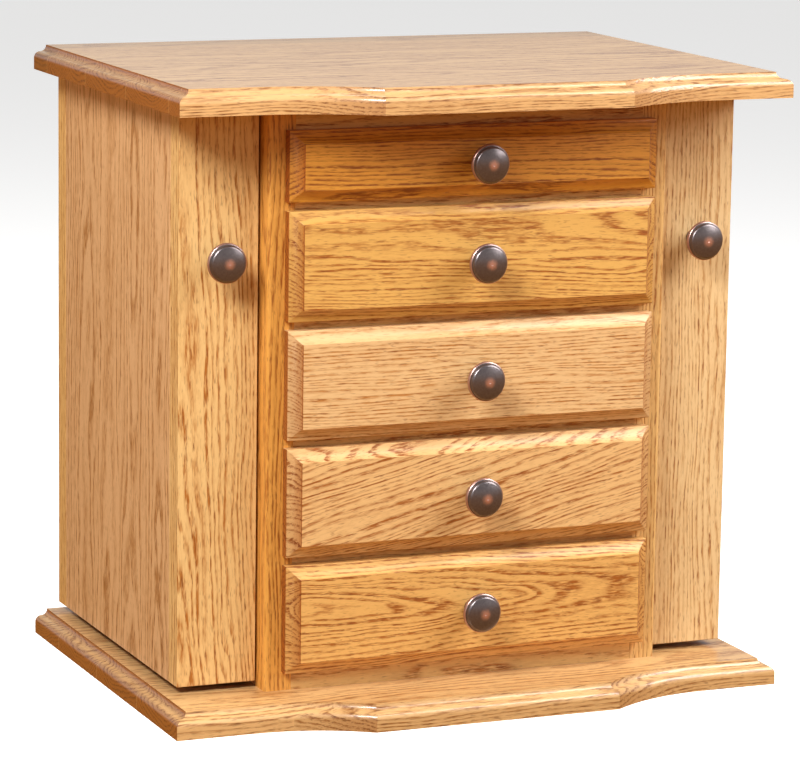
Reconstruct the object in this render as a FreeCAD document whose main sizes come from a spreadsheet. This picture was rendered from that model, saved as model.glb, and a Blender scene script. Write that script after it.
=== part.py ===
import FreeCAD, Part

import os
import re

import Sketcher
from FreeCAD import Placement, Rotation, Vector

# Jewelry armoire in oak.  A case of five drawers stands between two narrow necklace cabinets, which swing out
# on continuous hinges at the rear.  A moulded board with a bowed front lies under them and another over them.
# Frame: +X to the right as one faces the drawers, +Y to the rear, +Z up.  The origin is under the middle of
# the whole, on the surface that it stands on.  Millimetres.

doc = FreeCAD.newDocument("jewelry_armoire")

SIZES = [
    ("case_width", 323, "drawer case, outside"),
    ("case_height", 438, "from the base board to the top board"),
    ("case_depth", 303, "from the face frame to the rear"),
    ("case_wall", 19, "case sides"),
    ("frame_thick", 19, "face frame, front to back"),
    ("stile_width", 21, "face frame uprights"),
    ("stile_round", 2.5, "outer front arris of the uprights"),
    ("back_panel", 6, "plywood back of the case"),
    ("back_recess", 2, "from the rear of the sides to the plywood back"),
    ("back_rabbet", 9.5, "how far the plywood back runs into each side"),
    ("arris", 0.6, "eased edges of the sawn boards"),
    ("overcut", 1, "how far a cutter starts or runs past the wood"),
    ("board_thick", 19, "base board and top board"),
    ("side_overhang", 20, "boards past the necklace cabinets"),
    ("front_overhang", 43, "ends of the boards past the face frame"),
    ("bow", 27.5, "middle of the boards past their ends"),
    ("bow_flat", 198, "straight middle of the bow"),
    ("sweep_run", 85, "width of each hollow sweep beside the bow"),
    ("ogee_radius", 5, "hollow and round of the moulded edge"),
    ("door_width", 62, "necklace cabinet, left to right"),
    ("door_depth", 288, "necklace cabinet, front to rear"),
    ("door_board", 19, "its front and back boards"),
    ("door_panel", 12.7, "its side panel"),
    ("door_cap", 9.5, "its floor and ceiling"),
    ("door_foot_gap", 5, "over the base board"),
    ("door_head_gap", 2.5, "under the top board"),
    ("hinge_gap", 2, "between a necklace cabinet and the case"),
    ("rail_height", 22, "necklace rail"),
    ("rail_thick", 12.7, "necklace rail"),
    ("rail_drop", 16, "from the cabinet's ceiling to the necklace rail"),
    ("hook_wire", 2, "brass hook"),
    ("hook_collar", 6, "collar of the hook, across"),
    ("hook_tip", 2.8, "ball at the end of the hook, across"),
    ("hook_ring", 5.5, "radius of the hook's bend"),
    ("hook_reach", 11, "from the rail to the middle of the bend"),
    ("hook_sweep", 230, "degrees of bend"),
    ("leaf_thick", 0.9, "hinge leaf"),
    ("leaf_width", 16, "hinge leaf on the wood"),
    ("hinge_inset", 6, "hinge short of the cabinet's floor and ceiling"),
    ("pin_dia", 1.6, "hinge pin"),
    ("pin_play", 0.1, "pin to knuckle, all round"),
    ("pin_back", 2.2, "hinge pin behind the rear of the case"),
    ("knuckle_dia", 4, "hinge knuckle"),
    ("knuckle_gap", 0.2, "between knuckles"),
    ("leaf_clear", 0.3, "hinge leaf short of the other leaf's knuckles"),
    ("drawer_front", 15.9, "thickness of a drawer front"),
    ("front_land", 7.9, "square edge of a drawer front"),
    ("bevel_inset", 9.3, "width of the hollow bevel round a drawer front"),
    ("bevel_step", 1.2, "small step between the bevel and the field"),
    ("bevel_radius", 18, "hollow of the bevel"),
    ("top_front_height", 53, "front of the top drawer"),
    ("front_gap", 6.5, "between drawer fronts"),
    ("lower_reveal", 14.5, "from the base board to the lowest front"),
    ("upper_reveal", 16.5, "from the top board to the highest front"),
    ("lap_side", 8, "drawer fronts over the uprights"),
    ("lap_rail", 7, "drawer fronts over the rails"),
    ("front_play", 0.3, "closed drawer front to the face frame"),
    ("box_wall", 9.5, "drawer box"),
    ("box_depth", 260, "drawer box, front to back"),
    ("box_side_play", 1.5, "drawer box to the opening, each side"),
    ("box_head_play", 6, "drawer box lower than its opening"),
    ("slide_play", 0.3, "drawer box over its runners"),
    ("bottom_thick", 4, "plywood bottom of a drawer"),
    ("bottom_groove", 4, "its groove in the box, deep"),
    ("bottom_raise", 4, "its underside over the edge of the box"),
    ("liner_thick", 1.5, "felt"),
    ("runner_width", 12, "hardwood runner"),
    ("runner_height", 10, "hardwood runner"),
    ("runner_short", 5, "hardwood runner short of the back"),
    ("cleat", 19, "square strip that holds the top board"),
    ("knob_dia", 30, "rim of the knob"),
    ("knob_reach", 25, "knob off the wood"),
    ("knob_foot", 14, "foot of the knob, across"),
    ("knob_foot_thick", 1.6, "foot of the knob"),
    ("knob_neck", 9, "neck of the knob, across"),
    ("knob_flare", 6.4, "height of the flare from neck to head"),
    ("knob_head", 9.6, "height of the head over the flare"),
    ("knob_lip", 1.4, "rounded lower edge of the rim, high"),
    ("knob_rim", 1.9, "straight edge of the rim"),
    ("knob_step", 1.3, "step inside the rim"),
    ("knob_ridge", 1.1, "height of the step's round"),
    ("knob_bead", 0.6, "straight above the step"),
    ("knob_tuck", 2.2, "width of the lower edge and of the shoulder"),
    ("knob_dome", 2, "rise of the dome"),
    ("knob_hollow", 9, "radius of the neck's hollows"),
    ("knob_bore", 9, "depth of the screw hole in the knob"),
    ("bore_room", 1, "tip of the screw to the end of that hole"),
    ("screw_dia", 4, "knob and case screws"),
    ("screw_head", 8, "head of the screw, across"),
    ("screw_head_thick", 2.6, "head of the screw"),
    ("screw_bite", 15, "case screw in the second piece"),
    ("screw_sunk", 0.4, "head of a case screw below the wood"),
    ("screw_play", 0.1, "screw to its hole, all round"),
    ("pin_screw_dia", 2.4, "hinge screw"),
    ("pin_screw_head", 5, "head of the hinge screw, across"),
    ("pin_screw_short", 0.9, "hinge screw short of the rabbet for the back"),
    ("magnet_dia", 8, "catch magnet"),
    ("magnet_long", 4.4, "catch magnet"),
    ("magnet_proud", 1.4, "catch magnet out of the case side"),
    ("catch_back", 11, "catch behind the cabinet's front"),
    ("strike_dia", 10, "steel plate that the magnet holds"),
    ("strike_thick", 1.2, "steel plate"),
    ("door_knob_drop", 110, "cabinet knob under the top of the cabinet"),
]

FORMULAS = {
    "case_foot": "board_thick",
    "case_top": "board_thick + case_height",
    "rear": "(case_depth + front_overhang + bow - pin_back - knuckle_dia / 2) / 2",
    "face": "rear - case_depth",
    "frame_back": "face + frame_thick",
    "board_face": "face - front_overhang",
    "bow_face": "board_face - bow",
    "case_half": "case_width / 2",
    "case_inside": "case_half - case_wall",
    "opening_half": "case_half - stile_width",
    "door_face": "rear - door_depth",
    "door_inner": "case_half + hinge_gap",
    "door_outer": "door_inner + door_width",
    "door_foot": "board_thick + door_foot_gap",
    "door_head": "case_top - door_head_gap",
    "board_half": "door_outer + side_overhang",
    "sweep_radius": "(sweep_run ^ 2 + bow ^ 2) / (2 * bow)",
    "sweep_end": "bow_flat / 2 + sweep_run",
    "ogee": "2 * ogee_radius",
    "front_half": "opening_half + lap_side",
    "front_height": "(case_height - lower_reveal - upper_reveal - top_front_height - 4 * front_gap) / 4",
    "front_back": "face - front_play",
    "field": "front_back - drawer_front",
    "box_half": "opening_half - box_side_play",
    "box_rear": "front_back + box_depth",
    "back_front": "rear - back_recess - back_panel",
    "door_front_back": "door_face + door_board",
    "door_back_front": "rear - door_board",
    "panel_inside": "door_outer - door_panel",
    "rail_inside": "panel_inside - rail_thick",
    "rail_top": "door_head - door_cap - rail_drop",
    "hinge_foot": "door_foot + hinge_inset",
    "hinge_head": "door_head - hinge_inset",
    "pin_x": "case_half + hinge_gap / 2",
    "pin_y": "rear + pin_back",
    "leaf_rear": "pin_y - knuckle_dia / 2 - leaf_clear",
    "leaf_front": "rear - leaf_width",
    "leaf_screws_y": "rear - leaf_width / 2",
    "pin_screw_length": "leaf_thick + case_wall - back_rabbet - pin_screw_short",
    "knob_radius": "knob_dia / 2",
    "knob_inner": "knob_radius - knob_step",
    "dome_radius": "((knob_inner - knob_tuck) ^ 2 + knob_dome ^ 2) / (2 * knob_dome)",
    "head_foot": "knob_reach - knob_head",
    "rim_foot": "head_foot + knob_lip",
    "rim_head": "rim_foot + knob_rim",
    "bead_foot": "rim_head + knob_ridge",
    "catch_z": "(door_foot + door_head) / 2",
}

DRAWERS = range(1, 6)
SIDES = {"left": -1, "right": 1}
HOOKS = 6           # in each necklace cabinet
KNUCKLES = 22       # along each hinge, for both of its leaves
HINGE_SCREWS = 7    # in each leaf
BASE_SCREWS = 3     # in each case side
CLEAT_SCREWS = 2    # in each cleat
OVERRUN = 12        # degrees that the sweep's cutter turns past the end of the sweep

sheet = doc.addObject("Spreadsheet::Sheet", "sizes")
for row, (alias, size, note) in enumerate(SIZES, start=1):
    sheet.set(f"A{row}", alias)
    sheet.set(f"B{row}", str(size))
    sheet.set(f"C{row}", note)
    sheet.setAlias(f"B{row}", alias)
doc.recompute()
ALIASES = {alias for alias, size, note in SIZES}


def formula(text):
    """The text with each name replaced by its cell or by its own formula."""

    def spelled(match):
        name = match.group(0)
        if name in FORMULAS:
            return f"({formula(FORMULAS[name])})"
        return f"sizes.{name}" if name in ALIASES else name

    return re.sub(r"[a-z][a-z_]*", spelled, str(text))


def number(text):
    """What a formula comes to with the sheet as it stands."""
    found = sheet.evalExpression(formula(text))
    return float(getattr(found, "Value", found))


def bind(thing, **properties):
    """Ties properties of an object to formulas."""
    for name, text in properties.items():
        thing.setExpression(name, formula(text))


def put(thing, x, y, z, turn=Rotation()):
    """Turns an object and ties its place to formulas."""
    thing.Placement = Placement(Vector(), turn)
    for axis, text in zip("xyz", (x, y, z)):
        thing.setExpression(f"Placement.Base.{axis}", formula(text))
    return thing


def mirrored(side, low, high):
    """A left-to-right range, given for the right and turned over for the left."""
    return (low, high) if side > 0 else (f"-({high})", f"-({low})")


# ---- Solids -----------------------------------------------------------------------------------------------

TOWARDS = {
    "+z": Rotation(),
    "-z": Rotation(Vector(1, 0, 0), 180),
    "+x": Rotation(Vector(0, 1, 0), 90),
    "-x": Rotation(Vector(0, 1, 0), -90),
    "+y": Rotation(Vector(1, 0, 0), -90),
    "-y": Rotation(Vector(1, 0, 0), 90),
}


def block(x, y, z):
    """A sharp-edged block between three pairs of formulas."""
    solid = doc.addObject("Part::Box", "block")
    for name, (low, high) in zip(("Length", "Width", "Height"), (x, y, z)):
        bind(solid, **{name: f"({high}) - ({low})"})
    return put(solid, x[0], y[0], z[0])


def board(x, y, z):
    """A sawn board between three pairs of formulas, with every arris eased."""
    body = doc.addObject("PartDesign::Body", "board")
    stock = body.newObject("PartDesign::AdditiveBox", "stock")
    for name, (low, high) in zip(("Length", "Width", "Height"), (x, y, z)):
        bind(stock, **{name: f"({high}) - ({low})"})
    doc.recompute()
    eased = body.newObject("PartDesign::Fillet", "eased")
    eased.Base = (stock, [f"Edge{edge}" for edge in range(1, 13)])
    bind(eased, Radius="arris")
    return put(body, x[0], y[0], z[0])


def rod(x, y, z, towards, across, length):
    """A round bar that starts at a point and runs along an axis."""
    solid = doc.addObject("Part::Cylinder", "rod")
    bind(solid, Radius=f"({across}) / 2", Height=length)
    return put(solid, x, y, z, TOWARDS[towards])


def group(solids):
    """Separate solids held in one piece's file."""
    compound = doc.addObject("Part::Compound", "group")
    compound.Links = solids
    return compound


def joined(solids):
    union = doc.addObject("Part::MultiFuse", "joined")
    union.Shapes = solids
    return union


def cut(base, tools):
    """The base without its tools, which are holes, grooves and rabbets."""
    result = doc.addObject("Part::Cut", "cut")
    result.Base = base
    result.Tool = tools[0] if len(tools) == 1 else group(tools)
    return result


def sketch(body, plane, name):
    """A sketch on one of its body's origin planes."""
    drawn = body.newObject("Sketcher::SketchObject", name)
    support = next(item for item in body.Origin.OriginFeatures if item.Role == plane)
    drawn.AttachmentSupport = [(support, "")]
    drawn.MapMode = "FlatFace"
    return drawn


def outline(drawn, corners, curves=None):
    """A closed outline through corners, each a pair of formulas.  curves gives a radius to the side that
    leaves a corner: a formula, then +1 where the centre lies to the left of the way round or -1 where it lies
    to the right."""
    curves = curves or {}
    first = drawn.GeometryCount
    count = len(corners)
    points = [Vector(number(x), number(y), 0) for x, y in corners]
    ends = []
    for index in range(count):
        start, end = points[index], points[(index + 1) % count]
        if index not in curves:
            drawn.addGeometry(Part.LineSegment(start, end))
            ends.append((1, 2))
            continue
        radius, hand = number(curves[index][0]), curves[index][1]
        chord = end - start
        left = Vector(-chord.y, chord.x, 0).normalize()
        to_centre = (radius ** 2 - (chord.Length / 2) ** 2) ** 0.5
        top = start + chord / 2 - left * hand * (radius - to_centre)
        drawn.addGeometry(Part.Arc(start, top, end))
        ends.append((1, 2) if hand > 0 else (2, 1))
    for index in range(count):
        after = (index + 1) % count
        drawn.addConstraint(Sketcher.Constraint("Coincident", first + index, ends[index][1],
                                                first + after, ends[after][0]))
    for index, (x, y) in enumerate(corners):
        for kind, text in (("DistanceX", x), ("DistanceY", y)):
            made = drawn.addConstraint(Sketcher.Constraint(kind, -1, 1, first + index, ends[index][0],
                                                           number(text)))
            drawn.setExpression(f"Constraints[{made}]", formula(text))
    for index, (radius, hand) in curves.items():
        made = drawn.addConstraint(Sketcher.Constraint("Radius", first + index, number(radius)))
        drawn.setExpression(f"Constraints[{made}]", formula(radius))


def feature(body, kind, name, profile, **settings):
    """A PartDesign feature made from a sketch."""
    made = body.newObject(f"PartDesign::{kind}", name)
    made.Profile = profile
    for key, setting in settings.items():
        setattr(made, key, setting)
    return made


NODES = {}


def node(name, solid):
    """Names a finished piece."""
    solid.Label = name
    NODES[name] = solid


# ---- Screws -----------------------------------------------------------------------------------------------

def screw(x, y, z, towards, length, shank="screw_dia", head="screw_head", thick="screw_head_thick"):
    """A screw whose head starts at a point and whose length counts the head."""
    return joined([rod(x, y, z, towards, head, thick), rod(x, y, z, towards, shank, length)])


def screw_hole(x, y, z, towards, length, shank="screw_dia", head="screw_head", thick="screw_head_thick"):
    """The hole for that screw, with its play, open to the side that the screw comes from."""
    back = {"+": "-", "-": "+"}[towards[0]]
    start = {"x": x, "y": y, "z": z}
    start[towards[1]] = f"({start[towards[1]]}) {back} overcut"
    place = [start[axis] for axis in "xyz"]
    return joined([
        rod(*place, towards, f"{head} + 2 * screw_play", f"{thick} + overcut + screw_play"),
        rod(*place, towards, f"{shank} + 2 * screw_play", f"({length}) + overcut + screw_play"),
    ])


def spread(low, high, count, index):
    """The place of one of a row of equal steps, half a step in from each end."""
    return f"({low}) + (({high}) - ({low})) * {(index + 0.5) / count}"


def base_screws(make):
    """Up through the base board into the case sides."""
    return [
        make(f"{side} * (case_half - case_wall / 2)", spread("frame_back", "back_front", BASE_SCREWS, index),
             "screw_sunk", "+z", "board_thick + screw_bite")
        for side in SIDES.values() for index in range(BASE_SCREWS)
    ]


def cleat_screws(make):
    """Up through the cleats into the top board."""
    return [
        make(f"{side} * (case_inside - cleat / 2)", spread("frame_back", "back_front", CLEAT_SCREWS, index),
             "case_top - cleat + screw_sunk", "+z", "cleat + board_thick / 2")
        for side in SIDES.values() for index in range(CLEAT_SCREWS)
    ]


def hinge_screws(make, side, on_door):
    """Through one leaf of a hinge, heads flush with the leaf."""
    face = "door_inner - leaf_thick" if on_door else "case_half + leaf_thick"
    outward = side if on_door else -side
    return [
        make(f"{side} * ({face})", "leaf_screws_y", spread("hinge_foot", "hinge_head", HINGE_SCREWS, index),
             "+x" if outward > 0 else "-x", "pin_screw_length", "pin_screw_dia", "pin_screw_head",
             "leaf_thick - screw_play")
        for index in range(HINGE_SCREWS)
    ]


# ---- Base board and top board -----------------------------------------------------------------------------

def ogee_cutter(edge, inward):
    """What the moulding cutter takes off an edge: a hollow under the upper arris, then a round.  The outline
    starts at a formula for the edge and runs inward along +1 or -1."""
    profile = [
        ("ogee", "board_thick + overcut"),
        ("ogee", "board_thick"),
        ("ogee_radius", "board_thick - ogee_radius"),
        ("0", "board_thick - ogee"),
        ("-overcut", "board_thick - ogee"),
        ("-overcut", "board_thick + overcut"),
    ]
    corners = [(f"({edge}) + ({inward}) * ({across})", height) for across, height in profile]
    return corners, {1: ("ogee_radius", -inward), 2: ("ogee_radius", inward)}


def moulded_board(name, foot):
    """A board bowed at the front, with an ogee along its front and its two ends and a square rear edge."""
    body = doc.addObject("PartDesign::Body", name)
    plan = sketch(body, "XY_Plane", "plan")
    outline(plan, [
        ("-board_half", "rear"),
        ("-board_half", "board_face"),
        ("-sweep_end", "board_face"),
        ("-bow_flat / 2", "bow_face"),
        ("bow_flat / 2", "bow_face"),
        ("sweep_end", "board_face"),
        ("board_half", "board_face"),
        ("board_half", "rear"),
    ], {2: ("sweep_radius", -1), 4: ("sweep_radius", -1)})
    bind(feature(body, "Pad", "stock", plan), Length="board_thick")
    doc.recompute()

    ends = sketch(body, "XZ_Plane", "end_ogees")
    outline(ends, *ogee_cutter("-board_half", 1))
    outline(ends, *ogee_cutter("board_half", -1))
    feature(body, "Pocket", "cut_end_ogees", ends, Type="ThroughAll", SideType="Symmetric")

    middle = sketch(body, "YZ_Plane", "middle_ogee")
    outline(middle, *ogee_cutter("bow_face", 1))
    feature(body, "Pocket", "cut_middle_ogee", middle, Type="ThroughAll", SideType="Symmetric")

    corner = sketch(body, "YZ_Plane", "front_ogee")
    corner.setExpression("AttachmentOffset.Base.x", formula("board_face - sweep_radius"))
    corner.setExpression("AttachmentOffset.Base.z", formula("sweep_end"))
    outline(corner, *ogee_cutter("sweep_radius", 1))
    straight = feature(body, "Pocket", "cut_front_ogee", corner, Type="ThroughAll", Reversed=True)
    hollow = feature(body, "Groove", "cut_sweep_ogee", corner, ReferenceAxis=(corner, ["V_Axis"]))
    bind(hollow, Angle=f"asin(sweep_run / sweep_radius) + {OVERRUN} deg")
    doc.recompute()

    both = body.newObject("PartDesign::Mirrored", "both_sides")
    both.Originals = [straight, hollow]
    both.MirrorPlane = (next(item for item in body.Origin.OriginFeatures if item.Role == "YZ_Plane"), [""])
    body.Tip = both
    return put(body, "0", "0", foot)


node("base_board", cut(moulded_board("base_stock", "0"), base_screws(screw_hole)))
node("top_board", cut(moulded_board("top_stock", "case_top"), cleat_screws(screw_hole)))


# ---- Drawer case ------------------------------------------------------------------------------------------

def front_top(drawer):
    """Upper edge of a drawer front, the top drawer being number 1."""
    if drawer == 1:
        return "case_top - upper_reveal"
    return f"{front_foot(1)} - front_gap - {drawer - 2} * (front_height + front_gap)"


def front_foot(drawer):
    return f"{front_top(drawer)} - {'top_front_height' if drawer == 1 else 'front_height'}"


def opening_foot(drawer):
    return f"{front_foot(drawer)} + lap_rail"


def opening_top(drawer):
    return f"{front_top(drawer)} - lap_rail"


def magnet(side, across):
    """The catch magnet, which stands a little out of a case side, or the cutter for its pocket."""
    return rod(f"{side} * (case_half - magnet_long + magnet_proud)", "door_face + catch_back", "catch_z",
               "+x" if side > 0 else "-x", across, "magnet_long")


def case_side(side):
    """A case side, rabbeted for the back, with the catch's pocket and the screws' holes."""
    plain = board(mirrored(side, "case_inside", "case_half"), ("frame_back", "rear"),
                  ("case_foot", "case_top"))
    rabbet = block(mirrored(side, "case_inside - overcut", "case_inside + back_rabbet"),
                   ("back_front", "rear + overcut"), ("case_foot - overcut", "case_top + overcut"))
    pocket = magnet(side, "magnet_dia + 2 * screw_play")
    return cut(plain, [rabbet, pocket, *base_screws(screw_hole), *hinge_screws(screw_hole, side, False)])


for hand, side in SIDES.items():
    node(f"case_side_{hand}", case_side(side))

node("case_back", block(("-case_inside - back_rabbet", "case_inside + back_rabbet"),
                        ("back_front", "rear - back_recess"), ("case_foot", "case_top")))


def stile(side):
    """An upright of the face frame, with its outer front arris rounded over."""
    body = doc.addObject("PartDesign::Body", "stile")
    plan = sketch(body, "XY_Plane", "section")
    ring = [
        (f"{side} * opening_half", "frame_back"),
        (f"{side} * opening_half", "face"),
        (f"{side} * (case_half - stile_round)", "face"),
        (f"{side} * case_half", "face + stile_round"),
        (f"{side} * case_half", "frame_back"),
    ]
    outline(plan, ring, {2: ("stile_round", side)})
    bind(feature(body, "Pad", "length", plan), Length="case_height")
    return put(body, "0", "0", "case_foot")


for hand, side in SIDES.items():
    node(f"face_stile_{hand}", stile(side))


def rail(low, high):
    return block(("-opening_half", "opening_half"), ("face", "frame_back"), (low, high))


node("face_top_rail", rail(opening_top(DRAWERS[0]), "case_top"))
node("face_bottom_rail", rail("case_foot", opening_foot(DRAWERS[-1])))
node("face_divider_rails", group([
    rail(opening_top(below), opening_foot(above)) for above, below in zip(DRAWERS, DRAWERS[1:])
]))

node("drawer_runners", group([
    block(mirrored(side, "case_inside - runner_width", "case_inside"),
          ("frame_back", "back_front - runner_short"),
          (f"{opening_foot(drawer)} - runner_height", opening_foot(drawer)))
    for drawer in DRAWERS for side in SIDES.values()
]))

cleats = group([
    block(mirrored(side, "case_inside - cleat", "case_inside"), ("frame_back", "back_front"),
          ("case_top - cleat", "case_top"))
    for side in SIDES.values()
])
node("top_cleats", cut(cleats, cleat_screws(screw_hole)))


# ---- Continuous hinges ------------------------------------------------------------------------------------

def leaf(side, on_door):
    """One leaf of a hinge with its share of the knuckles, which alternate with the other leaf's."""
    near = "door_inner - leaf_thick" if on_door else "case_half"
    flat = mirrored(side, near, f"{near} + leaf_thick")
    pieces = [block(flat, ("leaf_front", "leaf_rear"), ("hinge_foot", "hinge_head"))]
    step = f"(hinge_head - hinge_foot) / {KNUCKLES}"
    for knuckle in range(1 if on_door else 0, KNUCKLES, 2):
        foot = f"hinge_foot + {knuckle} * {step} + knuckle_gap / 2"
        head = f"hinge_foot + {knuckle + 1} * {step} - knuckle_gap / 2"
        pieces.append(block(flat, ("leaf_rear - overcut", "pin_y"), (foot, head)))
        pieces.append(rod(f"{side} * pin_x", "pin_y", foot, "+z", "knuckle_dia", f"({head}) - ({foot})"))
    bore = rod(f"{side} * pin_x", "pin_y", "hinge_foot - overcut", "+z", "pin_dia + 2 * pin_play",
               "hinge_head - hinge_foot + 2 * overcut")
    return cut(joined(pieces), [bore, *hinge_screws(screw_hole, side, on_door)])


node("case_hinge_leaves", group([leaf(side, False) for side in SIDES.values()]))
node("hinge_pins", group([
    rod(f"{side} * pin_x", "pin_y", "hinge_foot", "+z", "pin_dia", "hinge_head - hinge_foot")
    for side in SIDES.values()
]))
node("catch_magnets", group([
    magnet(side, "magnet_dia") for side in SIDES.values()
]))
node("case_screws", group([
    *base_screws(screw), *cleat_screws(screw),
    *[item for side in SIDES.values() for item in hinge_screws(screw, side, False)],
]))


# ---- Knobs ------------------------------------------------------------------------------------------------

def knob(x, y, z):
    """A turned knob facing the front: foot, waisted neck, flared head, rim, step and shallow dome."""
    body = doc.addObject("PartDesign::Body", "knob")
    section = sketch(body, "XZ_Plane", "section")
    bore = "screw_dia / 2 + screw_play"
    outline(section, [
        (bore, "0"),
        ("knob_foot / 2", "0"),
        ("knob_foot / 2", "knob_foot_thick"),
        ("knob_neck / 2", "head_foot - knob_flare"),
        ("knob_radius - knob_tuck", "head_foot"),
        ("knob_radius", "rim_foot"),
        ("knob_radius", "rim_head"),
        ("knob_inner", "bead_foot"),
        ("knob_inner", "bead_foot + knob_bead"),
        ("knob_inner - knob_tuck", "knob_reach - knob_dome"),
        ("0", "knob_reach"),
        ("0", "knob_bore"),
        (bore, "knob_bore"),
    ], {
        2: ("knob_hollow", -1),
        3: ("knob_hollow", -1),
        4: ("knob_lip + knob_tuck / 2", 1),
        6: ("knob_ridge + knob_step / 2", 1),
        8: ("knob_tuck + knob_ridge / 2", 1),
        9: ("dome_radius", 1),
    })
    feature(body, "Revolution", "turned", section, ReferenceAxis=(section, ["V_Axis"]))
    return put(body, x, y, z, TOWARDS["-y"])


# ---- Necklace cabinets ------------------------------------------------------------------------------------

DOOR_HEIGHT = ("door_foot", "door_head")
DOOR_INSIDE = ("door_front_back", "door_back_front")
DOOR_KNOB = ("(door_inner + door_outer) / 2", "door_face", "door_head - door_knob_drop")


def door_knob_screw(make, side):
    """From inside a cabinet's front board into its knob."""
    across, front, height = DOOR_KNOB
    return make(f"{side} * {across}", "door_front_back + screw_head_thick", height, "-y",
                "screw_head_thick + door_board + knob_bore - bore_room")


def hook(side, index):
    """A brass cup hook: collar, shank, bend and ball tip."""
    middle = f"{side} * (rail_inside - hook_reach)"
    along = spread(*DOOR_INSIDE, HOOKS, index)
    height = "rail_top - rail_height / 2"
    inward = "-x" if side > 0 else "+x"
    bend = doc.addObject("Part::Torus", "bend")
    bind(bend, Radius1="hook_ring", Radius2="hook_wire / 2", Angle3="hook_sweep")
    put(bend, middle, along, f"{height} - hook_ring",
        Rotation(Vector(0, 0, 1), Vector(-side, 0, 0), Vector(0, -side, 0), "XYZ"))
    tip = doc.addObject("Part::Sphere", "tip")
    bind(tip, Radius="hook_tip / 2")
    put(tip, f"{middle} - {side} * sin(hook_sweep) * hook_ring", along,
        f"{height} - hook_ring + cos(hook_sweep) * hook_ring")
    return joined([
        rod(f"{side} * rail_inside", along, height, inward, "hook_collar", "hook_wire / 2"),
        rod(f"{side} * rail_inside", along, height, inward, "hook_wire", "hook_reach"),
        bend, tip,
    ])


def strike(side, across, length):
    """The steel plate that the catch magnet holds, or its recess."""
    return rod(f"{side} * door_inner", "door_face + catch_back", "catch_z", "+x" if side > 0 else "-x",
               across, length)


for hand, side in SIDES.items():
    name = f"door_{hand}"
    across = mirrored(side, "door_inner", "door_outer")
    front = board(across, ("door_face", "door_front_back"), DOOR_HEIGHT)
    node(f"{name}_front_board", cut(front, [
        rod(f"{side} * {DOOR_KNOB[0]}", "door_face - overcut", DOOR_KNOB[2], "+y",
            "screw_dia + 2 * screw_play", "door_board + 2 * overcut"),
        strike(side, "strike_dia + 2 * screw_play", "strike_thick"),
    ]))
    back = board(across, ("door_back_front", "rear"), DOOR_HEIGHT)
    node(f"{name}_back_board", cut(back, hinge_screws(screw_hole, side, True)))
    node(f"{name}_side_panel", board(mirrored(side, "panel_inside", "door_outer"), DOOR_INSIDE, DOOR_HEIGHT))
    caps = [("door_foot", "door_foot + door_cap"), ("door_head - door_cap", "door_head")]
    node(f"{name}_floor_and_ceiling", group([
        block(mirrored(side, "door_inner", "panel_inside"), DOOR_INSIDE, height) for height in caps
    ]))
    node(f"{name}_necklace_rail", board(mirrored(side, "rail_inside", "panel_inside"), DOOR_INSIDE,
                                        ("rail_top - rail_height", "rail_top")))
    node(f"{name}_hooks", group([hook(side, index) for index in range(HOOKS)]))
    node(f"{name}_hinge_leaf", leaf(side, True))
    node(f"{name}_knob", group([
        knob(f"{side} * {DOOR_KNOB[0]}", DOOR_KNOB[1], DOOR_KNOB[2]), door_knob_screw(screw, side),
    ]))
    node(f"{name}_fasteners", group([
        *hinge_screws(screw, side, True), strike(side, "strike_dia", "strike_thick"),
    ]))


# ---- Drawers ----------------------------------------------------------------------------------------------

def front_cutter(edge, inward):
    """What the bevel takes off one end of a drawer front."""
    profile = [
        ("-overcut", "front_back - front_land"),
        ("0", "front_back - front_land"),
        ("bevel_inset", "field + bevel_step"),
        ("bevel_inset", "field - overcut"),
        ("-overcut", "field - overcut"),
    ]
    corners = [(f"({edge}) + ({inward}) * ({across})", depth) for across, depth in profile]
    return corners, {1: ("bevel_radius", -inward)}


def drawer_face(foot, height):
    """A drawer front with a square edge, a hollow bevel all round, a small step and a flat field."""
    body = doc.addObject("PartDesign::Body", "front")
    section = sketch(body, "YZ_Plane", "section")
    outline(section, [
        ("front_back", "0"),
        ("front_back - front_land", "0"),
        ("field + bevel_step", "bevel_inset"),
        ("field", "bevel_inset"),
        ("field", f"{height} - bevel_inset"),
        ("field + bevel_step", f"{height} - bevel_inset"),
        ("front_back - front_land", height),
        ("front_back", height),
    ], {1: ("bevel_radius", 1), 5: ("bevel_radius", 1)})
    bind(feature(body, "Pad", "length", section, SideType="Symmetric"), Length="2 * front_half")
    doc.recompute()
    ends = sketch(body, "XY_Plane", "end_bevels")
    outline(ends, *front_cutter("-front_half", 1))
    outline(ends, *front_cutter("front_half", -1))
    feature(body, "Pocket", "cut_end_bevels", ends, Type="ThroughAll", SideType="Symmetric")
    return put(body, "0", "0", foot)


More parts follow.
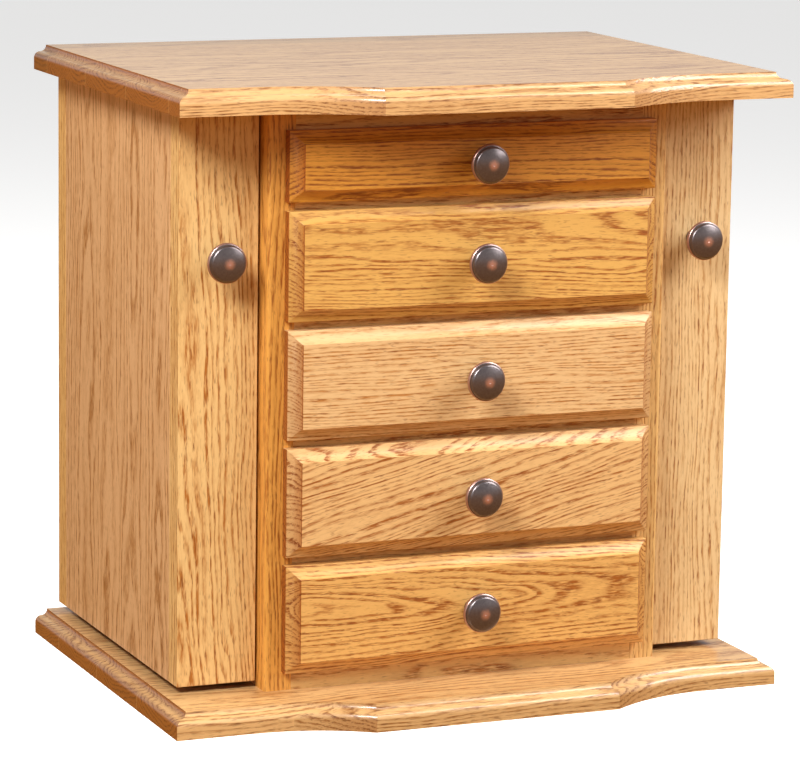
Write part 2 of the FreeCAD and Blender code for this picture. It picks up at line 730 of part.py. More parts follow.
for drawer in DRAWERS:
    name = f"drawer_{drawer}"
    height = "top_front_height" if drawer == 1 else "front_height"
    middle = f"{front_foot(drawer)} + {height} / 2"
    foot = f"{opening_foot(drawer)} + slide_play"
    head = f"{opening_top(drawer)} - box_head_play + slide_play"
    inner = ("-box_half + box_wall", "box_half - box_wall")
    inner_y = ("front_back + box_wall", "box_rear - box_wall")
    floor = f"{foot} + bottom_raise"
    hole = rod("0", "field - overcut", middle, "+y", "screw_dia + 2 * screw_play",
               "drawer_front + box_wall + 2 * overcut")

    node(f"{name}_front", cut(drawer_face(front_foot(drawer), height), [hole]))

    walls = group([
        block(("-box_half", "-box_half + box_wall"), ("front_back", "box_rear"), (foot, head)),
        block(("box_half - box_wall", "box_half"), ("front_back", "box_rear"), (foot, head)),
        block(inner, ("front_back", "front_back + box_wall"), (foot, head)),
        block(inner, ("box_rear - box_wall", "box_rear"), (foot, head)),
    ])
    sheet_x = ("-box_half + box_wall - bottom_groove", "box_half - box_wall + bottom_groove")
    sheet_y = ("front_back + box_wall - bottom_groove", "box_rear - box_wall + bottom_groove")
    sheet_z = (floor, f"{floor} + bottom_thick")
    node(f"{name}_box", cut(walls, [block(sheet_x, sheet_y, sheet_z), hole]))
    node(f"{name}_bottom", block(sheet_x, sheet_y, sheet_z))
    node(f"{name}_liner", block(inner, inner_y, (sheet_z[1], f"{sheet_z[1]} + liner_thick")))
    node(f"{name}_knob", group([
        knob("0", "field", middle),
        screw("0", "front_back + box_wall + screw_head_thick", middle, "-y",
              "screw_head_thick + box_wall + drawer_front + knob_bore - bore_room"),
    ]))


# ---- Files ------------------------------------------------------------------------------------------------

doc.recompute()
failed = [f"{item.Label} {item.getStatusString()}" for item in doc.Objects
          if {"Invalid", "Error"} & set(item.State)]
failed += [name for name, item in NODES.items() if item.Shape.isNull() or not item.Shape.isValid()]
if failed:
    raise SystemExit(f"not built: {failed}")

os.makedirs("parts", exist_ok=True)
for name, item in NODES.items():
    item.Shape.exportStep(f"parts/{name}.step")
    print(f"{name:32} {len(item.Shape.Solids):3} solids {item.Shape.Volume / 1000:9.2f} cm3")
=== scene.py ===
# %% [markdown]
# # A jewelry armoire in red oak
# The armoire is a small chest: five drawers between two narrow cabinets that swing out for necklaces, all
# between two moulded boards. Its shapes come ready made from the CAD model, so this lesson is about what
# a cabinet maker would call the finish: how each board was sawn and stained, how the drawer fronts were
# sanded, how the lacquer shines and how the metal wears.

# %% Load the frame
import math

import bmesh
import bpy
from mathutils import Matrix, Vector


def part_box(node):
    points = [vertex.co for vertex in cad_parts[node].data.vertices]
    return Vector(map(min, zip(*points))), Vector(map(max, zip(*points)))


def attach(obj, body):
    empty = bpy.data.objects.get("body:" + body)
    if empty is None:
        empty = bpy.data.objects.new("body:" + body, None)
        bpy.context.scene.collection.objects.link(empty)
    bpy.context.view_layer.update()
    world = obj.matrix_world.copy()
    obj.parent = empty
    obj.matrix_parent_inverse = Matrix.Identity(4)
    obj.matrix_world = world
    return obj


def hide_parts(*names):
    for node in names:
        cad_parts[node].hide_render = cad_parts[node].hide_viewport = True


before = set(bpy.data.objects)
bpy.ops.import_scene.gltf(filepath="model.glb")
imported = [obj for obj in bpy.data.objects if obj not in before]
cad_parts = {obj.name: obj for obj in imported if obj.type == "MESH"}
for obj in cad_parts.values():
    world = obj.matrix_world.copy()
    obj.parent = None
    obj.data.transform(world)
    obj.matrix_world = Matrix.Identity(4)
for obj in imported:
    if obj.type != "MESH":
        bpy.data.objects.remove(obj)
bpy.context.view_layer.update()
MM = 0.001
print("pieces:", len(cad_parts))

# %% [markdown]
# ## Two small tools
# A material is a tree of nodes.  One function adds a node, sets it and links what feeds it.  Another
# turns the hex colours that a painter would write into the linear numbers that the renderer mixes.


# %% Tools for materials
def node(tree, kind, inputs=None, out=0, **settings):
    """Adds a node and gives back one of its outputs.  An input is a value, or another node's output."""
    made = tree.nodes.new(kind)
    for name, setting in settings.items():
        setattr(made, name, setting)
    for socket, source in (inputs or {}).items():
        if isinstance(source, bpy.types.NodeSocket):
            tree.links.new(source, made.inputs[socket])
        else:
            made.inputs[socket].default_value = source
    return made.outputs[out] if made.outputs else made


def linear(code):
    """An sRGB colour such as #E0A865 as linear red, green, blue and alpha."""
    channels = [int(code[start:start + 2], 16) / 255 for start in (1, 3, 5)]
    return [c / 12.92 if c <= 0.04045 else ((c + 0.055) / 1.055) ** 2.4 for c in channels] + [1]


print("mid grey as linear light:", round(linear("#808080")[0], 3))

# %% [markdown]
# ## Red oak, how it grows
# Oak is ring-porous.  Each spring it grows a band of wide pores, then dense summer wood.  A board shows
# those rings where the saw met them, so the grain is not a picture on a face: it is a solid that runs
# through the board and turns its corners.  The group below makes that solid in millimetres, with the
# trunk along Z.  Its first cell finds, for any point, which year's ring it is in and how far into that
# year: the distance from the heart of the log, bent by slow waves, over the width of a ring.  Boards
# glued up from staves take a new place in the log at each joint.

# %% The oak group: its inputs
SUMMER_WOOD, SPRING_WOOD, OPEN_PORE = "#DCB270", "#A8651F", "#7E420C"
UNGLUED = 9000.0    # a stave wider than any board, in millimetres, so that no joint shows

OAK_INPUTS = {
    "Place": ("NodeSocketVector", (0, 0, 0)),
    "Along": ("NodeSocketVector", (0, 0, 1)),
    "Ring": ("NodeSocketFloat", 3.2),
    "Wave": ("NodeSocketFloat", 5.0),
    "Stave": ("NodeSocketFloat", UNGLUED),
    "Pores": ("NodeSocketFloat", 1.0),
    "Summer": ("NodeSocketColor", linear(SUMMER_WOOD)),
    "Spring": ("NodeSocketColor", linear(SPRING_WOOD)),
    "Pore": ("NodeSocketColor", linear(OPEN_PORE)),
}
OAK = bpy.data.node_groups.new("red oak", "ShaderNodeTree")
for name, (kind, value) in OAK_INPUTS.items():
    OAK.interface.new_socket(name, in_out="INPUT", socket_type=kind).default_value = value
for name, kind in (("Color", "NodeSocketColor"), ("Pore", "NodeSocketFloat")):
    OAK.interface.new_socket(name, in_out="OUTPUT", socket_type=kind)
GIVEN = OAK.nodes.new("NodeGroupInput").outputs
print("oak takes:", ", ".join(OAK_INPUTS))

# %% The oak group: staves
SEPARATE, COMBINE = "ShaderNodeSeparateXYZ", "ShaderNodeCombineXYZ"
MATH, VECTOR_MATH, NOISE = "ShaderNodeMath", "ShaderNodeVectorMath", "ShaderNodeTexNoise"
STAVE_SHIFT = (46.0, 30.0, 2000.0)   # how far the log's heart moves from stave to stave, in millimetres

across = node(OAK, SEPARATE, {0: GIVEN["Place"]})
count = node(OAK, MATH, {0: across, 1: GIVEN["Stave"]}, operation="DIVIDE")
stave = node(OAK, MATH, {0: count}, operation="ROUND")
luck = node(OAK, "ShaderNodeTexWhiteNoise", {"W": stave}, out="Color", noise_dimensions="1D")
moved = node(OAK, VECTOR_MATH, {0: luck, 1: STAVE_SHIFT}, operation="MULTIPLY")
whole = node(OAK, MATH, {0: stave}, operation="ABSOLUTE")
any_stave = node(OAK, MATH, {0: whole, 1: 1.0}, operation="MINIMUM")
moved = node(OAK, VECTOR_MATH, {0: moved, "Scale": any_stave}, operation="SCALE")
back = node(OAK, MATH, {0: stave, 1: GIVEN["Stave"]}, operation="MULTIPLY")
local = node(OAK, VECTOR_MATH, {0: GIVEN["Place"], 1: node(OAK, COMBINE, {0: back})}, operation="SUBTRACT")
place = node(OAK, VECTOR_MATH, {0: local, 1: moved}, operation="ADD")
print("oak nodes so far:", len(OAK.nodes))

# %% The oak group: noises
# Each row is a noise: how wide its lumps are across the trunk and how long they are along it, in
# millimetres, then its detail and its roughness.  Real pores are about 0.3 mm wide.  The lumps that they
# are cut from here are 0.8 to 1.3 mm wide, since finer ones wouldn't show from where a person stands.
NOISES = {
    "sway": (44, 230, 3.0, 0.45),
    "patch": (24, 130, 2.0, 0.5),
    "fibre": (1.5, 13, 2.0, 0.6),
    "dash": (1.3, 9, 2.0, 0.55),
    "fleck": (0.8, 6, 0.0, 0.5),
}
noises = {}
for name, (wide, long, detail, roughness) in NOISES.items():
    spot = node(OAK, VECTOR_MATH, {0: place, 1: (1 / wide, 1 / wide, 1 / long), 2: (wide, long, detail)},
                operation="MULTIPLY_ADD")
    noises[name] = node(OAK, NOISE, {"Vector": spot, "Scale": 1.0, "Detail": detail,
                                     "Roughness": roughness})
print("noises:", ", ".join(noises))

# %% The oak group: years
SWAY = 2.2                 # the most that the slow waves bend a ring, in units of Wave
FAT_YEARS = 3.5            # the most years that a slow drift adds, so that rings differ in width
FAT_YEARS_PER_MM = 0.06    # how fast that drift changes on the way out from the heart

flat = node(OAK, VECTOR_MATH, {0: place, 1: (1, 1, 0)}, operation="MULTIPLY")
radius = node(OAK, VECTOR_MATH, {0: flat}, out="Value", operation="LENGTH")
sway = node(OAK, "ShaderNodeMapRange", {"Value": noises["sway"], "To Min": -SWAY, "To Max": SWAY},
            clamp=False)
sway = node(OAK, MATH, {0: sway, 1: GIVEN["Wave"]}, operation="MULTIPLY")
reach = node(OAK, MATH, {0: radius, 1: sway}, operation="ADD")
slow_reach = node(OAK, MATH, {0: reach, 1: FAT_YEARS_PER_MM}, operation="MULTIPLY")
fat_years = node(OAK, NOISE, {"W": slow_reach, "Scale": 1.0, "Detail": 1.0}, noise_dimensions="1D")
fat_years = node(OAK, MATH, {0: fat_years, 1: FAT_YEARS}, operation="MULTIPLY")
age = node(OAK, MATH, {0: reach, 1: GIVEN["Ring"]}, operation="DIVIDE")
age = node(OAK, MATH, {0: age, 1: fat_years}, operation="ADD")
season = node(OAK, MATH, {0: age}, operation="FRACT")
year = node(OAK, MATH, {0: age}, operation="FLOOR")
print("oak nodes so far:", len(OAK.nodes))

# %% [markdown]
# ## Red oak, how it looks
# The spring band starts sharply at the end of the last year and fades into summer, and some years have
# more of it than others.  Pores are thin dashes that crowd into that band, dark because stain settles in
# them.  A ramp draws the season, a random number per year its strength, and a moving threshold turns one
# noise into pores: low in spring wood, so that many show, and high in summer wood.  A fibre noise breaks
# the spring band into short lengths, since the saw cuts the pores along it one by one.
# Sawn across, pores drink stain all over, so faces that look along the trunk are darker and redder.
# Glued staves differ a little in tone, with a thin pale line between them.

# %% The oak group: spring wood and pores
SEASON = ((0.0, 0.2), (0.1, 1.0), (0.34, 0.85), (0.58, 0.1), (0.9, 0.0), (1.0, 0.2))
LEAN_YEAR, YEAR_LUCK = 0.65, 0.5          # the weakest year's spring wood, and what a good year adds
SUMMER_LIMIT, SPRING_DROP = 0.72, -0.22   # the threshold for pores, and how far spring wood lowers it
PORE_EDGE = 6.0                           # how sharply a pore ends
FLECK_START, FLECK_END = 0.66, 0.78       # the finest flecks come in any season, where their noise is high
FLECK_DEPTH = 0.5

ramp = OAK.nodes.new("ShaderNodeValToRGB")
OAK.links.new(season, ramp.inputs[0])
for stop in SEASON[2:]:
    ramp.color_ramp.elements.new(stop[0])
for element, (position, level) in zip(ramp.color_ramp.elements, SEASON):
    element.position, element.color = position, (level, level, level, 1)
strength = node(OAK, "ShaderNodeTexWhiteNoise", {"W": year}, noise_dimensions="1D")
strength = node(OAK, MATH, {0: strength, 1: YEAR_LUCK, 2: LEAN_YEAR}, operation="MULTIPLY_ADD")
early = node(OAK, MATH, {0: ramp.outputs[0], 1: strength}, operation="MULTIPLY")

limit = node(OAK, MATH, {0: early, 1: SPRING_DROP, 2: SUMMER_LIMIT}, operation="MULTIPLY_ADD")
dash = node(OAK, MATH, {0: noises["dash"], 1: limit}, operation="SUBTRACT")
dash = node(OAK, MATH, {0: dash, 1: PORE_EDGE}, operation="MULTIPLY", use_clamp=True)
fleck = node(OAK, "ShaderNodeMapRange", {"Value": noises["fleck"], "From Min": FLECK_START,
                                         "From Max": FLECK_END, "To Max": FLECK_DEPTH})
pore = node(OAK, MATH, {0: dash, 1: fleck}, operation="MAXIMUM")
pore = node(OAK, MATH, {0: pore, 1: GIVEN["Pores"]}, operation="MULTIPLY", use_clamp=True)
print("oak nodes so far:", len(OAK.nodes))

# %% The oak group: colours
MIX = "ShaderNodeMix"
BROKEN_START, BROKEN_END = 0.36, 0.62      # where the fibre noise starts a streak, and where it is full
LEAST_BAND, MOST_BAND = 0.1, 1.15          # how much of the spring band shows between streaks and in them
FAINT, PATCHY = 0.4, 0.35                  # how far fine dashes and wide patches shift the colour
STAIN = 0.8                                # how much of the pore's colour a full pore takes
END_GRAIN, END_GRAIN_POWER = "#B88752", 1.5
GLUE_LINE, GLUE_SHOWS = 0.7, 0.6           # half its width in mm; a real line is about 0.2 mm in all
DULLEST_STAVE, BRIGHTEST_STAVE = 0.84, 1.12
STAVE_SEED = 0.37

fibre = node(OAK, "ShaderNodeMapRange", {"Value": noises["fibre"], "From Min": BROKEN_START,
                                         "From Max": BROKEN_END, "To Min": LEAST_BAND, "To Max": MOST_BAND})
faint = node(OAK, "ShaderNodeMapRange", {"Value": noises["dash"], "To Min": -FAINT, "To Max": FAINT},
             clamp=False)
patch = node(OAK, "ShaderNodeMapRange", {"Value": noises["patch"], "To Min": -PATCHY, "To Max": PATCHY},
             clamp=False)
share = node(OAK, MATH, {0: early, 1: fibre, 2: faint}, operation="MULTIPLY_ADD")
share = node(OAK, MATH, {0: share, 1: patch}, operation="ADD", use_clamp=True)
colour = node(OAK, MIX, {"Factor": share, "A": GIVEN["Summer"], "B": GIVEN["Spring"]}, out="Result",
              data_type="RGBA")
stain = node(OAK, MATH, {0: pore, 1: STAIN}, operation="MULTIPLY")
colour = node(OAK, MIX, {"Factor": stain, "A": colour, "B": GIVEN["Pore"]}, out="Result", data_type="RGBA")

normal = node(OAK, "ShaderNodeTexCoord", out="Normal")
facing = node(OAK, VECTOR_MATH, {0: normal, 1: GIVEN["Along"]}, out="Value", operation="DOT_PRODUCT")
facing = node(OAK, MATH, {0: facing}, operation="ABSOLUTE")
end_grain = node(OAK, MATH, {0: facing, 1: END_GRAIN_POWER}, operation="POWER")
colour = node(OAK, MIX, {"Factor": end_grain, "A": colour, "B": linear(END_GRAIN)}, out="Result",
              data_type="RGBA", blend_type="MULTIPLY")
from_middle = node(OAK, MATH, {0: count, 1: stave}, operation="SUBTRACT")
from_middle = node(OAK, MATH, {0: from_middle}, operation="ABSOLUTE")
to_joint = node(OAK, MATH, {0: 0.5, 1: from_middle}, operation="SUBTRACT")
to_joint = node(OAK, MATH, {0: to_joint, 1: GIVEN["Stave"]}, operation="MULTIPLY")
glued = node(OAK, "ShaderNodeMapRange", {"Value": to_joint, "From Min": GLUE_LINE, "From Max": 0.0,
                                         "To Max": GLUE_SHOWS})
colour = node(OAK, MIX, {"Factor": glued, "A": colour, "B": GIVEN["Summer"]}, out="Result",
              data_type="RGBA")
seed = node(OAK, MATH, {0: stave, 1: STAVE_SEED}, operation="ADD")
tone = node(OAK, "ShaderNodeTexWhiteNoise", {"W": seed}, noise_dimensions="1D")
tone = node(OAK, "ShaderNodeMapRange", {"Value": tone, "To Min": DULLEST_STAVE, "To Max": BRIGHTEST_STAVE})
colour = node(OAK, VECTOR_MATH, {0: colour, "Scale": tone}, operation="SCALE")
node(OAK, "NodeGroupOutput", {"Color": colour, "Pore": pore})
print("oak group:", len(OAK.nodes), "nodes")

# %% [markdown]
# ## Sawing the boards
# Every board came from its own place in a log, so each gets its own material: the same solid oak, turned
# to the board's length, moved so that the heart of the log lies where the saw had it, and leant a little,
# since trunks taper.  A heart far off to one side gives straight lines.  A heart close behind the face,
# with a lean, gives the pointed arches that the trade calls cathedrals.
# The finish is nitrocellulose lacquer over a honey stain: a clear coat, IOR about 1.5, rubbed to a satin
# gloss, that sinks a little into the open pores.

# %% A board's own wood
AXES = {"x": Vector((1, 0, 0)), "y": Vector((0, 1, 0)), "z": Vector((0, 0, 1))}
LACQUER_IOR = 1.5
FILM_ROUGHNESS = 0.17
PORE_DEPTH = 0.15 * MM
PORE_BUMP = 0.5
WOOD_ROUGHNESS, PORE_ROUGHNESS = 0.48, 0.2    # of the wood under the film, and how much duller a pore is


def saw(name, sawn, heart, lean=(0.0, 0.0), slide=0.0, ring=3.2, wave=5.0, stave=UNGLUED, pores=1.0,
        summer=SUMMER_WOOD, spring=SPRING_WOOD, pore=OPEN_PORE, film=0.35, kind="lacquered red oak"):
    """Gives a piece its own wood.  sawn names the axis along the grain and the axis across the face.
    heart is where the heart of the log lies from the piece's middle, across the face and behind it, in mm;
    lean is the trunk's tilt in degrees, back from the face and aside in it; slide moves the piece along the
    trunk, in mm.  ring is how wide a year is, wave how far it bends and stave how wide a glued stave is, in
    mm; pores is how much the pores show, from 0 to 1; film is how full the lacquer is; kind names the wood
    and its finish."""
    along, across = AXES[sawn[0]], AXES[sawn[1]]
    turned = Matrix((across, along.cross(across), along))
    back, aside = (math.radians(angle) for angle in lean)
    turned = Matrix.Rotation(back, 3, "X") @ Matrix.Rotation(aside, 3, "Y") @ turned
    low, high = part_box(name)
    offset = Vector((-heart[0], -heart[1], slide)) - turned @ ((low + high) / 2 / MM)

    made = bpy.data.materials.new(f"{kind}, {name.replace('_', ' ')}")
    made.use_nodes = True
    tree = made.node_tree
    shader = tree.nodes["Principled BSDF"]
    where = node(tree, "ShaderNodeTexCoord", out="Object")
    place = node(tree, "ShaderNodeMapping", {"Vector": where, "Location": offset,
                                             "Rotation": turned.to_euler(),
                                             "Scale": (1 / MM, 1 / MM, 1 / MM)})
    wood = tree.nodes.new("ShaderNodeGroup")
    wood.node_tree = OAK
    tree.links.new(place, wood.inputs["Place"])
    values = {"Along": along, "Ring": ring, "Wave": wave, "Stave": stave, "Pores": pores,
              "Summer": linear(summer), "Spring": linear(spring), "Pore": linear(pore)}
    for socket, value in values.items():
        wood.inputs[socket].default_value = value
    sunk = node(tree, MATH, {0: wood.outputs["Pore"], 1: -1.0}, operation="MULTIPLY")
    dent = node(tree, "ShaderNodeBump", {"Height": sunk, "Strength": PORE_BUMP, "Distance": PORE_DEPTH})
    dull = node(tree, MATH, {0: wood.outputs["Pore"], 1: PORE_ROUGHNESS, 2: WOOD_ROUGHNESS},
                operation="MULTIPLY_ADD")
    tree.links.new(wood.outputs["Color"], shader.inputs["Base Color"])
    tree.links.new(dull, shader.inputs["Roughness"])
    tree.links.new(dent, shader.inputs["Normal"])
    shader.inputs["IOR"].default_value = LACQUER_IOR
    shader.inputs["Coat Weight"].default_value = film
    shader.inputs["Coat Roughness"].default_value = FILM_ROUGHNESS
    paint(name, made)


def paint(name, material):
    """Puts one material on a CAD piece."""
    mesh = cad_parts[name].data
    mesh.materials.clear()
    mesh.materials.append(material)


# %% Boards that run left to right
saw("top_board", "xy", (-90, 100), lean=(0.8, 0.6), stave=96, ring=2.8, wave=4, summer="#CFA26A",
    spring="#8E5A28", pore="#6B3F18", film=0.9)
saw("base_board", "xy", (80, 90), lean=(1.0, -0.8), slide=700, stave=96, ring=2.8, wave=5, summer="#D8AC72",
    spring="#9A642E", pore="#6B3F18", film=0.9)
saw("face_top_rail", "xz", (20, 90), ring=3.0)
saw("face_bottom_rail", "xz", (-15, 80), slide=500, ring=3.0)
saw("face_divider_rails", "xz", (60, 90), slide=900)
print("materials:", len(bpy.data.materials))

# %% Drawer fronts
# Drawer 1's summer and spring wood are deeper and more orange than the other fronts': painted shade, the
# orange of the shade under the top board's overhang.
saw("drawer_1_front", "xz", (-50, 30), lean=(0.5, 0.6), ring=3.0, wave=5, summer="#CE8E34",
    spring="#864510")
saw("drawer_2_front", "xz", (30, 34), lean=(0.6, 1.6), slide=300, ring=3.2, wave=7, summer="#D3A356",
    spring="#985414", film=0.2)
saw("drawer_3_front", "xz", (110, 70), lean=(0.3, 0.3), slide=600, ring=2.6, wave=4, summer="#D8B17C",
    spring="#AC6E2C", film=0.2)
saw("drawer_4_front", "xz", (80, 45), lean=(2, -13), slide=900, ring=3.6, wave=7, summer="#DAAF74",
    spring="#985414", film=0.2)
saw("drawer_5_front", "xz", (5, 28), lean=(5, 1), slide=1300, ring=3.4, wave=8, summer="#D8A65E",
    spring="#985414", film=0.2)
print("materials:", len(bpy.data.materials))

# %% Boards that stand upright
saw("face_stile_left", "zx", (60, 30), ring=3.0, summer="#DC9E48", spring="#9A5412")
saw("face_stile_right", "zx", (-60, 30), slide=400, ring=3.0)
saw("door_left_front_board", "zx", (-34, 40), lean=(1.4, 0.6), ring=3.2, wave=6, summer="#E0B97A")
saw("door_right_front_board", "zx", (70, 60), slide=700, ring=2.6, wave=4, summer="#DBBB88",
    spring="#B5834A")
saw("door_left_back_board", "zx", (10, -70))
saw("door_right_back_board", "zx", (-10, -80), slide=300)
saw("door_left_side_panel", "zy", (20, 60), lean=(0.3, 0.4), stave=58, ring=3.2, summer="#D9AE7E",
    spring="#A8723C", pore="#7F4C18")
saw("door_right_side_panel", "zy", (-20, 60), lean=(0.3, -0.3), slide=800, stave=58, ring=3.8)
saw("case_side_left", "zy", (70, 50), slide=200, stave=70)
saw("case_side_right", "zy", (-70, 90), slide=1200, stave=70)
print("materials:", len(bpy.data.materials))

# %% The insides of the necklace cabinets
for hand in ("left", "right"):
    saw(f"door_{hand}_floor_and_ceiling", "yx", (20, 90))
    saw(f"door_{hand}_necklace_rail", "yz", (40, 70), slide=150)
print("materials:", len(bpy.data.materials))

# %% [markdown]
# ## Sanded edges
# A cutter leaves an edge that could cut a finger, so the maker breaks it with sandpaper before staining,
# and that thin round is what catches the light.  The plain sawn boards have theirs from the CAD model.
# The drawer fronts get theirs here, on a copy that stands for the CAD piece: its loose triangles are
# merged, the flat ones become whole faces, and a Bevel modifier rounds each long sharp edge.  The rim of
# the knob's screw hole stays sharp, because its facets are too short for the round.  The top and the base
# stay as the moulding cutter left them, since a bevel would fold over itself where their moulding sweeps
# in.

# %% Break the edges
WELD = 0.002 * MM          # corners closer than this are one corner
HOLE_FACET = 1.0 * MM      # edges shorter than this belong to the screw hole
EASED = 0.45               # the width of the round, in mm
FLAT, CREASE, SHARP = (math.radians(angle) for angle in (0.5, 20, 35))


def sand(name, body, width):
    """Makes a merged copy stand for a CAD piece, with its sharp edges rounded by so many millimetres."""
    wood = bmesh.new()
    wood.from_mesh(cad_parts[name].data)
    bmesh.ops.remove_doubles(wood, verts=wood.verts, dist=WELD)
    bmesh.ops.dissolve_limit(wood, angle_limit=FLAT, verts=wood.verts, edges=wood.edges)
    rounding = wood.edges.layers.float.new("bevel_weight_edge")
    for edge in wood.edges:
        edge[rounding] = float(edge.calc_face_angle(0) > SHARP and edge.calc_length() > HOLE_FACET)
    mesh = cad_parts[name].data.copy()
    wood.to_mesh(mesh)
    wood.free()
    mesh.shade_smooth()
    mesh.set_sharp_from_angle(angle=CREASE)
    piece = bpy.data.objects.new(f"{name}_sanded", mesh)
    bpy.context.scene.collection.objects.link(piece)
    rounded = piece.modifiers.new("sanded edges", "BEVEL")
    rounded.width = width * MM
    rounded.segments = 2
    rounded.limit_method = "WEIGHT"
    rounded.use_clamp_overlap = False
    rounded.harden_normals = True
    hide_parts(name)
    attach(piece, body)
    print(piece.name, "rides on", body, "and has", len(mesh.polygons), "faces before its edges are rounded")


for drawer in range(1, 6):
    sand(f"drawer_{drawer}_front", f"drawer_{drawer}", EASED)

# %% [markdown]
# ## Plain wood inside
# Drawer boxes, runners and cleats are a pale, close-grained hardwood under a sealer.  Their pattern is
# the same solid as the oak's, with the colours of summer and spring wood close together and hardly any
# pores.  Birch plywood has a rotary-cut face: the blade went round the log, so the rings wander widely
# over it.

# %% Box wood and plywood
PALE = {"kind": "sealed pale hardwood", "summer": "#DDBD8C", "spring": "#CDA56C", "pore": "#A98253"}
PLY = {"kind": "sealed birch plywood", "summer": "#D2AB74", "spring": "#BC8B50", "pore": "#97693A",
       "ring": 6.0, "wave": 16, "pores": 0.15}

for drawer in range(1, 6):
    saw(f"drawer_{drawer}_box", "yz", (200, 90), slide=drawer * 170, ring=4.0, wave=4, pores=0.2, **PALE)
    saw(f"drawer_{drawer}_bottom", "xy", (30, 300), slide=drawer * 90, **PLY)
saw("case_back", "zx", (30, 300), **PLY)
for name in ("drawer_runners", "top_cleats"):
    saw(name, "yx", (90, 60), pores=0.2, **PALE)
print("materials:", len(bpy.data.materials))

# %% [markdown]
# ## Metals
# The knobs are oil-rubbed bronze: a dark chemical brown over copper-coloured metal, rubbed back to the
# copper where fingers reach, at the middle of the dome and along the edge of the rim.  The hinges and
# hooks are lacquered brass, and the screws and catches are zinc-plated steel.


# %% Brass and zinc
HAZE = 0.08    # how far the roughness drifts either way


def metal(name, light, dark, roughness, cloud):
    """A metal whose tone and gloss drift a little, in clouds so many millimetres wide."""
    made = bpy.data.materials.new(name)
    made.use_nodes = True
    tree = made.node_tree
    shader = tree.nodes["Principled BSDF"]
    where = node(tree, "ShaderNodeTexCoord", out="Object")
    drift = node(tree, NOISE, {"Vector": where, "Scale": 1 / (cloud * MM), "Detail": 3.0})
    tone = node(tree, MIX, {"Factor": drift, "A": linear(light), "B": linear(dark)}, out="Result",
                data_type="RGBA")
    haze = node(tree, "ShaderNodeMapRange", {"Value": drift, "To Min": roughness - HAZE,
                                             "To Max": roughness + HAZE})
    tree.links.new(tone, shader.inputs["Base Color"])
    tree.links.new(haze, shader.inputs["Roughness"])
    shader.inputs["Metallic"].default_value = 1.0
    return made


BRASS = metal("lacquered brass", "#D9B66E", "#B8924A", 0.3, 3.0)
ZINC = metal("zinc-plated steel", "#CFCDC6", "#A9A8A4", 0.36, 1.5)
print("metals:", BRASS.name, "and", ZINC.name)


# %% Oil-rubbed bronze
DOME_START, DOME_WORN, DOME_SHOWS = 6.6, 2.0, 0.9    # wear starts, and is full, so many mm from the middle
RIM, RIM_START, RIM_WORN, RIM_SHOWS = 14.7, 0.6, 0.2, 0.6    # the rim's radius, then so many mm from it
RAGGED = 2.4                                         # how many mm the edge of the worn dome wanders
BRUSHED = 1.6 * MM                                   # the size of the clouds in the dark finish
LEAST_ROUGH, MOST_ROUGH = 0.26, 0.38
PART_METAL = 0.85                                    # the dark finish is not bare metal


def bronze(name):
    """Oil-rubbed bronze on one knob, worn round the knob's own axis."""
    low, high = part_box(name)
    middle = (low + high) / 2 / MM
    made = bpy.data.materials.new(f"oil-rubbed bronze, {name.replace('_', ' ')}")
    made.use_nodes = True
    tree = made.node_tree
    shader = tree.nodes["Principled BSDF"]
    where = node(tree, "ShaderNodeTexCoord", out="Object")
    place = node(tree, "ShaderNodeMapping", {"Vector": where, "Scale": (1 / MM, 0, 1 / MM),
                                             "Location": (-middle.x, 0, -middle.z)})
    radius = node(tree, VECTOR_MATH, {0: place}, out="Value", operation="LENGTH")
    brushed = node(tree, NOISE, {"Vector": where, "Scale": 1 / BRUSHED, "Detail": 4.0})
    ragged = node(tree, MATH, {0: brushed, 1: RAGGED, 2: radius}, operation="MULTIPLY_ADD")
    dome = node(tree, "ShaderNodeMapRange", {"Value": ragged, "From Min": DOME_START, "From Max": DOME_WORN,
                                             "To Max": DOME_SHOWS}, interpolation_type="SMOOTHSTEP")
    edge = node(tree, MATH, {0: radius, 1: RIM}, operation="SUBTRACT")
    edge = node(tree, MATH, {0: edge}, operation="ABSOLUTE")
    edge = node(tree, "ShaderNodeMapRange", {"Value": edge, "From Min": RIM_START, "From Max": RIM_WORN,
                                             "To Max": RIM_SHOWS})
    worn = node(tree, MATH, {0: dome, 1: edge}, operation="MAXIMUM")
    dark = node(tree, MIX, {"Factor": brushed, "A": linear("#665D60"), "B": linear("#857C7B")},
                out="Result", data_type="RGBA")
    tone = node(tree, MIX, {"Factor": worn, "A": dark, "B": linear("#E6B3A2")}, out="Result",
                data_type="RGBA")
    haze = node(tree, "ShaderNodeMapRange", {"Value": brushed, "To Min": LEAST_ROUGH,
                                             "To Max": MOST_ROUGH})
    tree.links.new(tone, shader.inputs["Base Color"])
    tree.links.new(haze, shader.inputs["Roughness"])
    shader.inputs["Metallic"].default_value = PART_METAL
    paint(name, made)


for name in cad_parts:
    if name.endswith("_knob"):
        bronze(name)
    elif "hinge" in name or name.endswith("_hooks"):
        paint(name, BRASS)
    elif name in ("case_screws", "catch_magnets") or name.endswith("_fasteners"):
        paint(name, ZINC)
print("materials:", len(bpy.data.materials))

# %% [markdown]
# ## Felt
# The drawers are lined with pressed wool felt: a dull, short, tangled nap that catches light at its
# edges.

# %% Felt
TUFT, NAP_DEPTH = 0.8 * MM, 0.3 * MM

